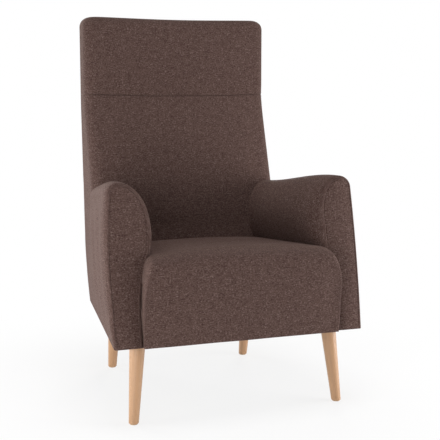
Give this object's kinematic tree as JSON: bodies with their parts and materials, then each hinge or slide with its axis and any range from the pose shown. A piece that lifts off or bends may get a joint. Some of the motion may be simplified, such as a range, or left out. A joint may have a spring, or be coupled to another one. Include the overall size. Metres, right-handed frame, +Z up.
{
  "type": "fireside chair",
  "caption": "High-backed upholstered fireside chair with sloping arms, a deep rolled seat front and turned, raked wooden legs.",
  "frame": {"origin": "on the floor, on the chair's plane of symmetry, half way between the front of the seat and the rear of the back", "axes": "+Z up, +Y towards the back so that the chair faces -Y, +X to the sitter's left"},
  "size_m": [0.7172, 0.676, 1.0799],
  "materials": {
    "upholstery_fabric": "brown melange woven upholstery cloth, matt, with fine lighter and darker flecks",
    "foam_filling": "cut polyurethane foam, pale cream",
    "beech_legs": "turned beech, clear satin lacquer",
    "frame_timber": "planed softwood and plywood, unfinished",
    "fibreboard": "hardboard, smooth and matt",
    "elastic_webbing": "woven elastic upholstery webbing, matt",
    "dust_lining": "spunbond lining, black and matt",
    "zinc_steel": "zinc-plated steel, dull bright",
    "nylon_glides": "moulded nylon, beige"
  },
  "bodies": {
    "root": {"front_rail": "frame_timber", "rear_rail": "frame_timber", "lumbar_rail": "frame_timber", "headrest_rail": "frame_timber", "top_back_rail": "frame_timber", "left_side_rail": "frame_timber", "left_back_post": "frame_timber", "left_arm_post": "frame_timber", "left_arm_rail": "frame_timber", "left_arm_board": "fibreboard", "right_side_rail": "frame_timber", "right_back_post": "frame_timber", "right_arm_post": "frame_timber", "right_arm_rail": "frame_timber", "right_arm_board": "fibreboard", "seat_webbing": "elastic_webbing", "back_webbing": "elastic_webbing", "dust_cover": "dust_lining", "front_left_leg": "beech_legs", "front_left_leg_plate": "zinc_steel", "front_left_leg_bolt": "zinc_steel", "front_left_insert_nut": "zinc_steel", "front_left_glide": "nylon_glides", "front_left_corner_block": "frame_timber", "front_right_leg": "beech_legs", "front_right_leg_plate": "zinc_steel", "front_right_leg_bolt": "zinc_steel", "front_right_insert_nut": "zinc_steel", "front_right_glide": "nylon_glides", "front_right_corner_block": "frame_timber", "rear_left_leg": "beech_legs", "rear_left_leg_plate": "zinc_steel", "rear_left_leg_bolt": "zinc_steel", "rear_left_insert_nut": "zinc_steel", "rear_left_glide": "nylon_glides", "rear_left_corner_block": "frame_timber", "rear_right_leg": "beech_legs", "rear_right_leg_plate": "zinc_steel", "rear_right_leg_bolt": "zinc_steel", "rear_right_insert_nut": "zinc_steel", "rear_right_glide": "nylon_glides", "rear_right_corner_block": "frame_timber", "seat_cover": "upholstery_fabric", "seat_foam": "foam_filling", "headrest_cover": "upholstery_fabric", "lower_back_cover": "upholstery_fabric", "headrest_foam": "foam_filling", "lower_back_foam": "foam_filling", "outside_back_panel": "upholstery_fabric", "left_arm_cover": "upholstery_fabric", "left_side_panel": "upholstery_fabric", "left_arm_foam": "foam_filling", "right_arm_cover": "upholstery_fabric", "right_side_panel": "upholstery_fabric", "right_arm_foam": "foam_filling"}
  },
  "joints": []
}
